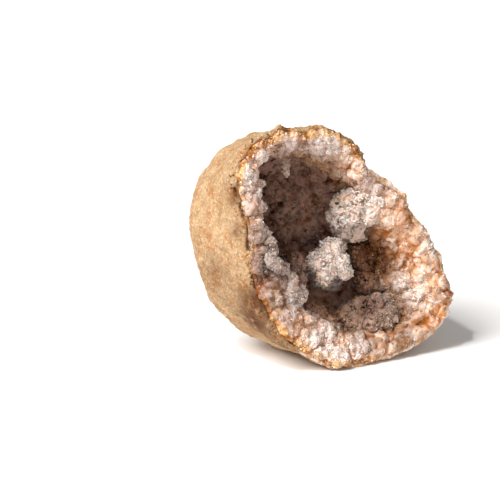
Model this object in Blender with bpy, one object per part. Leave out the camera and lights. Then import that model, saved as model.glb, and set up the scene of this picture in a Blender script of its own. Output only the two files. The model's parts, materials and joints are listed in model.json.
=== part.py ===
"""Half of a quartz geode: a thin limestone rind, a thick quartz wall and the crystal clusters in its cavity.

The stone is drawn in its broken face's own axes: X to the right, Z up the face and Y into the stone.
One empty then leans the face back and stands the stone on its worn underside, so that the world's
origin is at the bottom centre of the whole stone.
"""

import math

import bmesh
import bpy
from mathutils import Matrix, Vector, noise

MM = 0.001

# Driving dimensions, in millimetres and degrees.
LEAN_DEG = 8.0
STONE_DEPTH = 66.0
BELLY_DEPTH = 36.0
CAVITY_DEPTH = 48.0
RIND_THICKNESS = 3.0
SEAM_GAP = 0.3
FLOOR_HEIGHT = -1.2
BACK_FULLNESS = 0.86
UNDERSIDE_FULLNESS = 0.42
RIM_CENTRE = Vector((2.0, 60.0))
BELLY_CENTRE = Vector((-4.0, 54.0))
MOUTH_CENTRE = Vector((0.0, 62.0))

# How far the cavity slides sideways and up for each millimetre of depth.
CAVITY_DRIFT = Vector((-0.24, -0.02))

AROUND = 80
BELLY_RINGS = 5
BACK_RINGS = 6
CAVITY_RINGS = 9
FACE_RINGS = 2

# The outline of the broken face, clockwise from the top: across and up, in millimetres.
RIM_OUTLINE = (
    (-7, 121), (3, 117.5), (12, 111), (16.5, 104), (16.5, 98.5), (23, 94), (32, 89), (38, 83),
    (42, 75), (44, 70), (50, 63), (54.5, 55), (60, 47), (60.5, 39), (64.5, 30), (62, 20), (57.5, 13),
    (50, 8), (40, 3.5), (26, 0), (8, -2), (-8, -1), (-17, 5), (-24, 10), (-33, 15), (-40, 25),
    (-45, 36), (-49, 48), (-48, 68), (-52, 87), (-55, 100), (-52, 109), (-44, 118), (-33, 120.5),
    (-28, 123), (-17, 120.5),
)

# The outline of the stone's widest section, at BELLY_DEPTH, clockwise from the top.
BELLY_OUTLINE = (
    (-4, 116), (10, 111), (26, 100), (38, 86), (47, 68), (53, 50), (53, 32), (46, 15),
    (32, 3.5), (16, 0), (4, 0.5), (-8, 3.5), (-17, 7.5), (-31, 14), (-45, 24), (-55, 40), (-61, 58),
    (-62, 76), (-58, 92), (-51, 102), (-43, 110), (-31, 115), (-18, 117),
)

# The mouth of the cavity, clockwise from the top: across, up and how deep it lies, in millimetres.
MOUTH_OUTLINE = (
    (-8, 111, 3), (9, 100, 5), (16, 88, 6), (27, 68, 8), (36, 54, 10), (36, 36, 10),
    (42, 23, 8), (38, 12, 6), (22, 11, 5), (6, 15, 5), (-8, 20, 5), (-21, 30, 4),
    (-29, 44, 3), (-37, 60, 2), (-42, 84, 2), (-41, 104, 2), (-27, 112, 3),
)

# Each crystal cluster: the centre of each round lobe (across, up, depth) and its radius, in millimetres.
CLUSTERS = {
    "centre_cluster": (
        (14, 43, 43, 11), (9.5, 47.5, 33, 8.5), (5, 49.5, 25, 7.5), (3, 51, 19, 6), (5, 57, 18, 5.5),
        (10, 58.5, 19, 3), (6.5, 49.5, 14.5, 5), (9.5, 45.5, 13.5, 3.4), (-2.5, 50.5, 19, 4.8),
        (-0.5, 44, 17, 5),
    ),
    "shoulder_cluster": (
        (30, 66, 28, 10), (21, 68, 20, 8), (14, 72, 19, 7), (11, 78, 17, 4.4), (15, 67, 22, 5.5),
        (26, 76, 14, 9), (25, 80, 8, 6.5), (19, 84, 9, 6.5), (15, 81, 10, 6), (14, 75, 12, 6),
    ),
    "right_ridge": (
        (34, 43, 30, 10), (28, 46, 25, 8), (24, 51, 21, 6.5), (23, 45, 19, 5.5), (25, 39, 20, 6),
    ),
    "roof_finger": (
        (-24, 110, 8, 4.5), (-24, 107, 7.2, 2.8), (-23.6, 104.5, 7.1, 2.3), (-23.3, 102.3, 7.2, 2),
        (-23, 100.2, 7.4, 1.8), (-22.8, 98.3, 7.6, 1.6),
    ),
    "left_knob": (
        (-43, 84, 6, 6), (-40, 84, 6, 4), (-37, 83, 7, 3.2), (-42, 91, 5, 5), (-39, 95, 6, 3.4),
        (-36.5, 95, 6, 2.2),
    ),
    "left_ledge": (
        (-40, 67, 7, 6.5), (-39, 60.5, 7, 6), (-36, 54, 7, 6), (-31, 49, 8, 6), (-27, 43.5, 8, 6.2),
        (-23.5, 38, 8, 6),
    ),
    "grey_nodules": (
        (-16, 38, 34, 12), (-17, 47, 24, 9), (-17.5, 52.5, 18, 5), (-14, 50.3, 20, 4.3),
        (-23.5, 53.5, 19, 4.2),
    ),
    "back_nodules": (
        (-8, 78, 47, 12), (-14, 90, 42, 9), (2, 86, 43, 9), (11, 79, 42, 9), (4, 67, 44, 9),
        (-10, 66, 46, 8),
    ),
    "floor_nodules": (
        (-8, 19, 20, 9.5), (-12, 25.5, 15, 6), (-6, 23, 14, 5.5), (-17, 24, 11, 6.5), (-1, 18, 12.5, 6),
    ),
    "floor_ridge": (
        (19, 17, 22, 10), (22, 24, 17, 6), (28, 25, 15, 6), (31, 20, 13, 6.5), (25, 19, 15, 7),
    ),
}


def closed_curve(points, count):
    """Evenly spaced points on the smooth closed curve through these points."""
    knots = [Vector(point) for point in points]
    steps = 12
    fine = []
    for i in range(len(knots)):
        before, start, end, after = (knots[(i + k) % len(knots)] for k in (-1, 0, 1, 2))
        for j in range(steps):
            t = j / steps
            fine.append(
                0.5
                * (
                    2 * start
                    + (end - before) * t
                    + (2 * before - 5 * start + 4 * end - after) * t**2
                    + (3 * start - before - 3 * end + after) * t**3
                )
            )
    fine.append(fine[0])
    lengths = [0.0]
    for a, b in zip(fine, fine[1:]):
        lengths.append(lengths[-1] + (b - a).length)
    evenly, k = [], 0
    for i in range(count):
        wanted = lengths[-1] * i / count
        while lengths[k + 1] < wanted:
            k += 1
        share = (wanted - lengths[k]) / (lengths[k + 1] - lengths[k])
        evenly.append(fine[k].lerp(fine[k + 1], share))
    return evenly


def polar(points, centre, count):
    """The same closed curve, as one point at each of count equal turns about the centre."""
    fine = closed_curve(points, 12 * count)
    bearings = [math.atan2(p[1] - centre[1], p[0] - centre[0]) for p in fine]
    found = []
    for i in range(count):
        wanted = math.pi / 2 - math.tau * i / count
        nearest = min(range(len(fine)), key=lambda k: abs(math.remainder(bearings[k] - wanted, math.tau)))
        found.append(fine[nearest])
    return found


def lump(point, scale, strength):
    """Smooth noise from -strength to strength, with hollows and humps about scale across."""
    return strength * noise.noise(Vector(point) / scale)


def break_wave(turn):
    """How far the rough break dips behind the face's plane, round the rim."""
    return 0.9 * math.sin(3 * turn + 0.6) + 0.6 * math.sin(7 * turn + 2.0) + 0.5 * math.sin(11 * turn)


def stand_on(point, floor):
    """Lifts a point up the face until it is no lower than the floor's height."""
    lean = math.radians(LEAN_DEG)
    lowest = (floor + point.y * math.sin(lean)) / math.cos(lean)
    return Vector((point.x, point.y, max(point.z, lowest)))


def skin_point(at, y, outward, strength, inset):
    """A point of the stone's skin, with its humps and hollows, kept above the worn underside."""
    swell = strength * (lump((at.x, y, at.y), 24, 2.0) + lump((at.x, y, at.y), 10, 0.9))
    at = at + outward * swell
    return stand_on(Vector((at.x, y, at.y)), FLOOR_HEIGHT + inset)


def stone_rings(inset):
    """Rings from the rim to the back of the stone's skin, drawn in by inset, and the back's last point."""
    rim = polar(RIM_OUTLINE, RIM_CENTRE, AROUND)
    belly = polar(BELLY_OUTLINE, BELLY_CENTRE, AROUND)
    rings = []
    for i in range(BELLY_RINGS):
        share = i / BELLY_RINGS
        swing = math.sin(math.pi / 2 * share)
        ring = []
        for k in range(AROUND):
            turn = math.tau * k / AROUND
            y = BELLY_DEPTH * share + break_wave(turn) * (1 - share) ** 3
            spoke = (rim[k] - RIM_CENTRE).lerp(belly[k] - BELLY_CENTRE, swing)
            centre = RIM_CENTRE.lerp(BELLY_CENTRE, swing)
            outward = spoke.normalized()
            ring.append(skin_point(centre + spoke - outward * inset, y, outward, min(1, 3 * share), inset))
        rings.append(ring)
    depth = STONE_DEPTH - BELLY_DEPTH - inset
    for i in range(BACK_RINGS):
        bend = math.pi / 2 * i / BACK_RINGS
        y = BELLY_DEPTH + depth * math.sin(bend)
        ring = []
        for k in range(AROUND):
            spoke = belly[k] - BELLY_CENTRE
            outward = spoke.normalized()
            size = math.cos(bend) ** (BACK_FULLNESS - UNDERSIDE_FULLNESS * max(0.0, -outward.y))
            at = BELLY_CENTRE + outward * (spoke.length - inset) * size
            ring.append(skin_point(at, y, outward, size, inset))
        rings.append(ring)
    return rings, Vector((BELLY_CENTRE.x, STONE_DEPTH - inset, BELLY_CENTRE.y))


def cavity_rings(shrink):
    """Rings from the mouth to the back of the cavity, drawn in by shrink, and the back's last point."""
    mouth = polar(MOUTH_OUTLINE, MOUTH_CENTRE, AROUND)
    depth = CAVITY_DEPTH - shrink
    rings = []
    for i in range(CAVITY_RINGS):
        bend = math.pi / 2 * i / CAVITY_RINGS
        sink = math.sin(bend) ** 0.9
        size = math.cos(bend) ** 0.8 * (1 + 0.1 * math.sin(2 * bend))
        ring = []
        for point in mouth:
            spoke = Vector((point.x, point.y)) - MOUTH_CENTRE
            y = point.z + (depth - point.z) * sink
            across = spoke.normalized() * (spoke.length - shrink) * size
            at = MOUTH_CENTRE + CAVITY_DRIFT * y + across
            swell = lump((at.x, y, at.y), 13, 2.4) * min(1.0, i / 2)
            at += across.normalized() * swell * size
            ring.append(Vector((at.x, y, at.y)))
        rings.append(ring)
    back = MOUTH_CENTRE + CAVITY_DRIFT * depth
    return rings, Vector((back.x, depth, back.y))


def face_rings(edge, mouth):
    """Rings across the broken face, from the wall's edge in to the mouth of the cavity."""
    rings = []
    for i in range(1, FACE_RINGS + 1):
        share = i / (FACE_RINGS + 1)
        ring = []
        for outer, inner in zip(edge, mouth):
            at = outer.lerp(inner, share)
            at.y += lump(at, 7, 1.6) - 2.2 * math.sin(math.pi * share) * min(1.0, inner.y / 8)
            ring.append(at)
        rings.append(ring)
    return rings


def material(name, colour, roughness):
    """A plain Principled material."""
    made = bpy.data.materials.new(name)
    made.use_nodes = True
    shader = made.node_tree.nodes["Principled BSDF"]
    shader.inputs["Base Color"].default_value = (*colour, 1)
    shader.inputs["Roughness"].default_value = roughness
    shader.inputs["Metallic"].default_value = 0.0
    return made


def add_object(name, mesh, finish, stand):
    """Puts a mesh in the scene as one sub-part that stands with the stone."""
    if finish is not None:
        mesh.materials.append(finish)
    made = bpy.data.objects.new(name, mesh)
    bpy.context.scene.collection.objects.link(made)
    made.parent = stand
    return made


def cup(name, first_pole, rings, last_pole, finish, stand):
    """One closed cup: a skin over these rings, which starts at one pole and ends at the other."""
    shape = bmesh.new()
    loops = [[shape.verts.new(point * MM) for point in ring] for ring in rings]
    for pole, loop in ((first_pole, loops[0]), (last_pole, loops[-1])):
        tip = shape.verts.new(pole * MM)
        for k in range(AROUND):
            shape.faces.new((tip, loop[k], loop[(k + 1) % AROUND]))
    for near, far in zip(loops, loops[1:]):
        for k in range(AROUND):
            after = (k + 1) % AROUND
            shape.faces.new((near[k], near[after], far[after], far[k]))
    bmesh.ops.recalc_face_normals(shape, faces=shape.faces)
    bmesh.ops.triangulate(shape, faces=shape.faces)
    mesh = bpy.data.meshes.new(name)
    shape.to_mesh(mesh)
    shape.free()
    mesh.shade_smooth()
    mesh.set_sharp_from_angle(angle=math.radians(50))
    return add_object(name, mesh, finish, stand)


def make_rind(finish, stand):
    """The weathered limestone skin: a thin cup, open at the break."""
    outer, outer_back = stone_rings(0.0)
    inner, inner_back = stone_rings(RIND_THICKNESS)
    return cup("rind", outer_back, outer[::-1] + inner, inner_back, finish, stand)


def make_wall(name, clearance, finish, stand):
    """The quartz wall inside the rind, with its broken face. A clearance makes the cavity smaller."""
    outer, outer_back = stone_rings(RIND_THICKNESS + SEAM_GAP)
    cavity, cavity_back = cavity_rings(clearance)
    face = face_rings(outer[0], cavity[0])
    if clearance:
        for ring in face:
            for point in ring:
                point.y -= clearance
        for point in outer[0] + cavity[0]:
            point.y -= clearance
    return cup(name, outer_back, outer[::-1] + face + cavity, cavity_back, finish, stand)


def lobe(name, spec, finish, stand):
    """One round, slightly lumpy lobe of crystals."""
    across, up, depth, radius = spec
    centre = Vector((across, depth, up))
    shape = bmesh.new()
    bmesh.ops.create_icosphere(shape, subdivisions=2, radius=radius * MM)
    for vert in shape.verts:
        vert.co *= 1 + lump(vert.co / MM + centre, 5, 0.16)
    bmesh.ops.transform(shape, matrix=Matrix.Translation(centre * MM), verts=shape.verts)
    mesh = bpy.data.meshes.new(name)
    shape.to_mesh(mesh)
    shape.free()
    return add_object(name, mesh, finish, stand)


def boolean(target, other, operation):
    """Joins or cuts a sub-part with another shape."""
    step = target.modifiers.new(operation.title(), "BOOLEAN")
    step.operation = operation
    step.solver = "EXACT"
    step.object = other


def hide(helper):
    """Keeps a cutter or a helper out of the model."""
    helper.hide_render = True
    helper.display_type = "WIRE"


def make_cluster(name, lobes, keep_out, finish, stand):
    """A cluster of crystal lobes grown together, cut clear of the wall that it stands on."""
    body = lobe(name, lobes[0], finish, stand)
    for number, spec in enumerate(lobes[1:], start=2):
        helper = lobe(f"{name}_lobe_{number}", spec, None, stand)
        hide(helper)
        boolean(body, helper, "UNION")
    boolean(body, keep_out, "DIFFERENCE")
    return body


def stand_upright(stand, solids):
    """Leans the face back and puts the world's origin at the bottom centre of the stone."""
    stand.rotation_euler = (-math.radians(LEAN_DEG), 0, 0)
    bpy.context.view_layer.update()
    corners = [solid.matrix_world @ vert.co for solid in solids for vert in solid.data.vertices]
    low = Vector(min(corner[axis] for corner in corners) for axis in range(3))
    high = Vector(max(corner[axis] for corner in corners) for axis in range(3))
    stand.location = (-(low.x + high.x) / 2, -(low.y + high.y) / 2, -low.z)


def main():
    """Builds the whole stone."""
    for leftover in list(bpy.data.objects):
        bpy.data.objects.remove(leftover)
    stand = bpy.data.objects.new("stand", None)
    bpy.context.scene.collection.objects.link(stand)
    limestone = material("weathered limestone", (0.55, 0.36, 0.17), 0.9)
    wall_quartz = material("pink quartz wall", (0.78, 0.62, 0.55), 0.45)
    druse = material("drusy quartz", (0.72, 0.66, 0.66), 0.3)
    rind = make_rind(limestone, stand)
    wall = make_wall("quartz_wall", 0.0, wall_quartz, stand)
    keep_out = make_wall("wall_keep_out", SEAM_GAP + 0.1, None, stand)
    hide(keep_out)
    for name, lobes in CLUSTERS.items():
        make_cluster(name, lobes, keep_out, druse, stand)
    stand_upright(stand, (rind, wall))


main()
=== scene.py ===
"""Half of a broken quartz geode, dressed for the camera.

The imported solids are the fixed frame. Each solid is copied, merged, remeshed fine and roughened by
displacement, and the quartz is then overgrown with small points. The copies stand for the solids, which stay
hidden in their places.
"""

import json
import logging
import math
from dataclasses import dataclass
from enum import Enum

import bpy
import numpy as np
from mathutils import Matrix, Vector
from mathutils.bvhtree import BVHTree
from mathutils.kdtree import KDTree

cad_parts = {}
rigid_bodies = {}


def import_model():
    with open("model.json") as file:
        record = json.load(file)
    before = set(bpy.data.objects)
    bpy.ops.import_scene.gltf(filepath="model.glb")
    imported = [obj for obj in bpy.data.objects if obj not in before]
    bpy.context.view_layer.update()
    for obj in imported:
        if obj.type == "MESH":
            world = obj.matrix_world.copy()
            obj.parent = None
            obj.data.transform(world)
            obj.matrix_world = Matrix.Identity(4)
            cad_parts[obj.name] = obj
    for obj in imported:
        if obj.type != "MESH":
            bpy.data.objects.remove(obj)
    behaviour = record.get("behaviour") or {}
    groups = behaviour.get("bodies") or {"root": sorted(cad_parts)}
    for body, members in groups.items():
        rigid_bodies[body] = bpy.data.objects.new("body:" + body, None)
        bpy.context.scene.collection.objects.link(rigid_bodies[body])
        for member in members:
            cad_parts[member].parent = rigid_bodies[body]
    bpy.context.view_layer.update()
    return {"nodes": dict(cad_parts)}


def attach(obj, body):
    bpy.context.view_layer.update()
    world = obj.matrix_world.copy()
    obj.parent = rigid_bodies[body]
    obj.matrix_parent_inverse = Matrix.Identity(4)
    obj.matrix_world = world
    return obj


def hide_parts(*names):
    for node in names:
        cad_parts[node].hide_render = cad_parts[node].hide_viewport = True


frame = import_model()

MM = 0.001
BODY = "root"
SEED = 7
LOG = logging.getLogger("geode")

Piece = bpy.types.Object
Finish = bpy.types.Material
Socket = bpy.types.NodeSocket
Array = np.ndarray
Random = np.random.Generator


# ---------------------------------------------------------------- the broken face's own axes


@dataclass(frozen=True)
class BrokenFace:
    """The axes of the broken face: across it to the right, depth into the stone and up the leaning face."""

    lean_deg: float = 8.0
    origin_mm: tuple[float, float, float] = (-1.1, -36.5, 1.2)

    @property
    def turn(self) -> tuple[float, float]:
        """The cosine and the sine of the face's lean."""
        return math.cos(math.radians(self.lean_deg)), math.sin(math.radians(self.lean_deg))

    def facing(self, looks: Array) -> Array:
        """How squarely each direction looks out of the face, from -1 to 1."""
        cos, sin = self.turn
        return sin * looks[:, 2] - cos * looks[:, 1]

    def points(self, world: Array) -> Array:
        """Turns points of the row frame into points of the face.

        Args:
            world: Points in metres, one to a row.

        Returns:
            The same points as across, depth and up, in millimetres.
        """
        cos, sin = self.turn
        at = world / MM - np.array(self.origin_mm)
        return np.column_stack((at[:, 0], cos * at[:, 1] - sin * at[:, 2], sin * at[:, 1] + cos * at[:, 2]))

    def world(self, across: float, up: float, depth: float) -> Vector:
        """Turns one point of the face into a point of the row frame.

        Args:
            across: How far to the right it is, in millimetres.
            up: How far up the face it is, in millimetres.
            depth: How far into the stone it is, in millimetres.

        Returns:
            The point in the row frame, in metres.
        """
        cos, sin = self.turn
        turned = Vector((across, cos * depth + sin * up, -sin * depth + cos * up))
        return (turned + Vector(self.origin_mm)) * MM


FACE = BrokenFace()


@dataclass(frozen=True)
class Spot:
    """A soft round patch of the stone: its middle and radius in millimetres, and how strong it is."""

    across: float
    up: float
    depth: float
    radius: float
    amount: float

    def at(self, face_points: Array) -> Array:
        """How strong the patch is at each point, from 0 to its amount."""
        away = face_points - np.array((self.across, self.depth, self.up))
        return self.amount * np.exp(-(away**2).sum(axis=1) / self.radius**2)


def spots(*rows: tuple[float, float, float, float, float]) -> tuple[Spot, ...]:
    """Soft patches from rows of across, up, depth, radius and amount."""
    return tuple(Spot(*row) for row in rows)


def patches(laid: tuple[Spot, ...], face_points: Array) -> Array:
    """Lays soft patches over each other.

    Args:
        laid: The patches.
        face_points: Points of the face, in millimetres.

    Returns:
        How much of the patches each point has, from 0 to 1.
    """
    left = np.ones(len(face_points))
    for spot in laid:
        left *= 1 - np.clip(spot.at(face_points), 0, 1)
    return 1 - left


def smooth(low: float, high: float, value: Array) -> Array:
    """A smooth step from 0 at low to 1 at high."""
    t = np.clip((value - low) / (high - low), 0, 1)
    return t * t * (3 - 2 * t)


# ---------------------------------------------------------------- where the quartz is stained or frosted, and where shade is painted

# Iron-stained quartz: peach where it is thin and broken, orange-brown in the pockets.
IRON = spots(
    (28, 76, 5, 9, 0.75), (33, 66, 6, 9, 0.7), (40, 56, 4, 10, 0.75), (50, 48, 1, 6, 0.7),
    (51, 33, 2, 5, 1.0), (46, 40, 4, 6, 0.6), (54, 24, 1, 5, 0.7), (52, 16, 0, 6, 0.9), (9, 86, 8, 7, 1.0),
    (22, 56, 14, 9, 0.95), (30, 53, 11, 9, 1.0), (30, 44, 12, 8, 0.8), (36, 24, 9, 7, 0.7),
    (43, 17, 1, 6, 0.8), (34, 14, 3, 6, 0.6), (3, 30, 20, 14, 0.6), (-19, 103, 8, 8, 0.8),
    (-28, 104, 10, 6, 0.8), (-5, 100, 12, 8, 0.6), (4, 101, 8, 7, 0.7), (8, 104, 2, 6, 0.5),
    (-16, 107, 4, 3, 0.8), (-37, 34, 0, 5, 0.6), (-26, 20, 1, 7, 0.5), (-20, 26, 3, 5, 0.4),
    (22, 11, 1, 9, 0.5), (33, 9, 1, 9, 0.5), (-47, 80, 0, 6, 0.3), (12, 96, 3, 5, 0.6), (44, 63, 0, 6, 0.5),
    (5, 20, 8, 7, 0.6), (56, 42, 0, 6, 0.8),
)

# Frosted quartz: opaque white sugar, on the rims and on the foremost clusters.
FROST = spots(
    (8, 49, 12, 7, 1.0), (5, 57, 18, 6, 0.6), (18, 79, 8, 9, 1.0), (22, 79, 6, 6, 0.7),
    (-22, 118, 1, 9, 0.4), (-6, 114, 1, 9, 0.9), (6, 108, 1, 7, 0.8), (-38, 114, 1, 9, 0.8),
    (-45, 106, 0, 9, 1.0), (-45, 97, 0, 7, 0.9), (-42, 74, 2, 7, 0.5), (-38, 58, 2, 7, 0.7),
    (-35, 42, 0, 6, 0.4), (-27, 33, 3, 7, 0.7), (-16, 12, 1, 9, 1.0), (-4, 8, 1, 10, 1.0),
    (8, 6, 1, 7, 0.6), (38, 35, 7, 9, 0.7), (44, 30, 4, 8, 0.6), (37, 64, 3, 4, 0.7), (45, 62, 1, 5, 0.7),
    (52, 56, 0, 5, 0.7), (-24, 100, 6, 5, 0.6), (-35, 86, 5, 5, 0.7), (32, 20, 8, 7, 0.4),
    (18, 94, 2, 6, 0.7), (34, 83, 0, 6, 0.7),
)

# Crust: where the rind's ochre grains run on into the quartz at the break.
CRUST = spots(
    (-50, 106, 0, 14, 0.9), (-36, 117, 0, 14, 1.0), (-18, 120, 0, 14, 1.0), (0, 115, 0, 12, 1.0),
    (12, 106, 0, 10, 1.0), (-54, 90, 0, 10, 0.5), (-46, 60, 0, 10, 0.3), (-40, 35, 0, 8, 1.0),
    (-34, 24, 0, 12, 1.0), (-22, 10, 0, 12, 0.9), (-4, 2, 0, 12, 0.8), (14, 1, 0, 12, 0.8),
    (32, 5, 0, 10, 0.5), (50, 36, 0, 8, 0.8), (40, 70, 0, 8, 0.6), (56, 26, 0, 6, 0.6),
)

# Fresh break: where clean quartz runs out over the rind to the very edge of the stone.
FRESH = spots(
    (20, 95, 0, 7, 1.0), (29, 88, 0, 8, 1.0), (38, 78, 0, 9, 1.0), (45, 68, 0, 9, 1.0), (51, 57, 0, 9, 1.0),
    (55, 46, 0, 8, 1.0), (58, 34, 0, 8, 0.8), (60, 22, 0, 8, 1.0), (55, 12, 0, 9, 1.0), (46, 7, 0, 8, 0.8),
    (-19, 6, 0, 7, 0.9), (-8, 2, 0, 8, 0.7), (7, 0, 0, 8, 0.6), (22, 1, 0, 8, 0.8), (-43, 107, 0, 6, 0.7),
    (35, 4, 0, 7, 0.8),
)

# Painted shade: dark brown in the deepest and least lit hollows, where shade falls, and soft dark brown
# patches on the broken face.
SHADOW = spots(
    (-25, 75, 30, 18, 0.35), (-20, 58, 16, 12, 1.0), (-8, 58, 22, 10, 0.9), (2, 27, 18, 9, 1.0),
    (8, 29, 11, 10, 1.0), (5, 21, 7, 6, 0.9), (9, 84, 8, 7, 0.8), (22, 64, 14, 8, 0.8),
    (17, 27, 10, 9, 0.85), (16, 37, 24, 9, 0.8), (21, 55, 15, 10, 0.85), (30, 52, 11, 8, 0.7),
    (21, 46, 14, 10, 0.85), (-7, 40, 20, 8, 0.6), (1, 38, 15, 6, 0.6), (-36, 62, 0, 6, 0.7),
    (-37, 53, 0, 6, 0.7), (-47, 75, 0, 9, 0.3), (-47, 62, 0, 9, 0.35), (-46, 51, 0, 8, 0.35),
    (33, 8, 0, 8, 0.6), (-38, 35, 0, 5, 0.6), (-27, 35, 0, 6, 0.4), (12, 11, 0, 7, 0.3),
    (-27, 45, 2, 7, 0.6), (18, 9, 0, 6, 0.3), (33, 22, 10, 8, 0.6), (-22, 104, 5, 7, 1.0),
    (8, 85, 9, 8, 0.9), (3, 75, 13, 10, 0.85), (-31, 88, 7, 8, 1.0), (-34, 64, 1, 7, 0.8),
    (-37, 54, 1, 6, 0.5), (-23, 52, 8, 8, 0.6), (10, 58, 12, 4, 0.6), (29, 45, 10, 9, 0.7),
    (27, 28, 7, 8, 0.6), (37, 25, 7, 7, 0.5), (12, 66, 18, 8, 0.6), (-8, 94, 30, 14, 0.5),
    (0, 102, 8, 7, 0.4), (24, 20, 6, 7, 0.4), (43, 18, 2, 5, 0.4), (36, 14, 3, 5, 0.4),
)

# Painted shadow on the rind: dark brown where shade falls, in the crack and under the stone's lower left.
RIND_SHADOW_SPOTS = spots(
    (-46, 38, 3, 10, 1.0), (-44, 27, 8, 11, 1.0), (-52, 73, 6, 4, 0.8), (-53, 90, 3, 5, 0.6),
    (-34, 12, 8, 9, 0.7), (-58, 50, 22, 12, 0.5), (10, 113, 2, 5, 0.6), (18, 106, 2, 6, 0.7),
)


# The cavity's lip: its depth at the left, how much deeper it lies at the right, and how soft its edge is.
LIP_MM = 3.0
WIDE_LIP_MM = 6.0
WIDE_LIP_FROM_TO_MM = (-10, 30)
LIP_SOFTNESS_MM = 5.0

# The depths between which the quartz turns from the rim's colour to that of the deep cavity, which is partly
# its own brown and partly painted shade.
DEEP_FROM_TO_MM = (1, 22)


def cavity_share(face_points: Array) -> Array:
    """How far a point lies inside the cavity: 0 on the broken face and 1 behind its mouth.

    Args:
        face_points: Points of the face, in millimetres.

    Returns:
        One number from 0 to 1 for each point.
    """
    across, depth = face_points[:, 0], face_points[:, 1]
    mouth = LIP_MM + WIDE_LIP_MM * smooth(*WIDE_LIP_FROM_TO_MM, across)
    return smooth(0, 1, (depth - mouth) / LIP_SOFTNESS_MM)


def quartz_fields(face_points: Array) -> dict[str, Array]:
    """What the quartz's colour follows, at each point.

    Args:
        face_points: Points of the face, in millimetres.

    Returns:
        The depth into the stone, the iron stain, the frost and the painted shade, each from 0 to 1.
    """
    return {
        "deep": smooth(*DEEP_FROM_TO_MM, face_points[:, 1]),
        "iron": patches(IRON, face_points),
        "frost": patches(FROST, face_points),
        "shadow": patches(SHADOW, face_points),
    }


# ---------------------------------------------------------------- modelling


def deselect() -> None:
    """Deselects every object."""
    for other in bpy.context.view_layer.objects:
        other.select_set(False)


def activate(piece: Piece) -> None:
    """Makes one object the only selected one, and the active one.

    Args:
        piece: The object.
    """
    deselect()
    piece.select_set(True)
    bpy.context.view_layer.objects.active = piece


def modify(piece: Piece, kind: str, **settings: object) -> None:
    """Adds a modifier and applies it.

    Args:
        piece: The object.
        kind: The modifier's type.
        **settings: The modifier's settings.
    """
    step = piece.modifiers.new(kind.title(), kind)
    for setting, value in settings.items():
        setattr(step, setting, value)
    activate(piece)
    bpy.ops.object.modifier_apply(modifier=step.name)


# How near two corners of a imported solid's loose triangles are to be one vertex.
MERGE_MM = 0.005

# How finely a vertex group's weights are told apart.
WEIGHT_STEPS = 20


def copy_of(node: str, name: str) -> Piece:
    """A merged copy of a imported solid, as a new piece.

    Args:
        node: The solid's name.
        name: The new piece's name.

    Returns:
        The new piece.
    """
    piece = bpy.data.objects.new(name, frame["nodes"][node].data.copy())
    bpy.context.scene.collection.objects.link(piece)
    piece.data.materials.clear()
    activate(piece)
    bpy.ops.object.mode_set(mode="EDIT")
    bpy.ops.mesh.select_all(action="SELECT")
    bpy.ops.mesh.remove_doubles(threshold=MERGE_MM * MM)
    bpy.ops.object.mode_set(mode="OBJECT")
    return piece


def rows_of(items: bpy.types.bpy_prop_collection, name: str) -> Array:
    """Reads three numbers from each item of a mesh.

    Args:
        items: The vertices or their normals.
        name: The property that holds the numbers.

    Returns:
        The numbers of one item to a row.
    """
    found = np.empty(len(items) * 3, np.float32)
    items.foreach_get(name, found)
    return found.reshape(-1, 3).astype(float)


def positions(piece: Piece) -> Array:
    """The vertices of a piece, in metres, one to a row."""
    return rows_of(piece.data.vertices, "co")


def normals(piece: Piece) -> Array:
    """Which way a piece's surface looks at each vertex, one direction to a row."""
    return rows_of(piece.data.vertex_normals, "vector")


def move_to(piece: Piece, points: Array) -> None:
    """Puts the vertices of a piece at these points."""
    piece.data.vertices.foreach_set("co", points.astype(np.float32).ravel())
    piece.data.update()


def store(piece: Piece, name: str, values: Array) -> None:
    """Keeps one number for each vertex, for a material to read.

    Args:
        piece: The object. Its vertex groups are cleared, since a group's name would shadow the number's.
        name: The number's name.
        values: The number for each vertex.
    """
    piece.vertex_groups.clear()
    made = piece.data.attributes.get(name) or piece.data.attributes.new(name, "FLOAT", "POINT")
    made.data.foreach_set("value", values.astype(np.float32))


def store_all(piece: Piece, fields: dict[str, Array]) -> None:
    """Keeps several numbers for each vertex.

    Args:
        piece: The object.
        fields: Each number's name, and its values.
    """
    for name, values in fields.items():
        store(piece, name, values)


def kept(piece: Piece, name: str) -> Array:
    """Reads the number that is kept for each vertex.

    Args:
        piece: The object.
        name: The number's name.

    Returns:
        The number for each vertex, or 0 where none is kept.
    """
    values = np.zeros(len(piece.data.vertices), np.float32)
    if name in piece.data.attributes:
        piece.data.attributes[name].data.foreach_get("value", values)
    return values.astype(float)


def gap_to(node: str, points: Array) -> Array:
    """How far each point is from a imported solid's surface.

    Args:
        node: The solid's name.
        points: Points in metres, one to a row.

    Returns:
        One distance for each point, in millimetres.
    """
    mesh = frame["nodes"][node].data
    corners = [vertex.co for vertex in mesh.vertices]
    tree = BVHTree.FromPolygons(corners, [polygon.vertices[:] for polygon in mesh.polygons])
    return np.array([tree.find_nearest(Vector(point))[3] for point in points]) / MM


def weigh(piece: Piece, group: str, weights: Array) -> None:
    """Makes a vertex group with a weight for each vertex.

    Args:
        piece: The object.
        group: The group's name.
        weights: One weight from 0 to 1 for each vertex.
    """
    made = piece.vertex_groups.new(name=group)
    levels = np.round(weights * WEIGHT_STEPS).astype(int)
    for level in range(1, WEIGHT_STEPS + 1):
        members = np.nonzero(levels == level)[0]
        if len(members):
            made.add(members.tolist(), level / WEIGHT_STEPS, "REPLACE")


class Relief(Enum):
    """The kinds of roughness that rock and crystal have."""

    LUMPS = "round growths, one to a cell"
    SWELL = "slow humps and hollows"
    GRIT = "sharp grains"
    CRACKS = "narrow grooves between cells"


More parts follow.
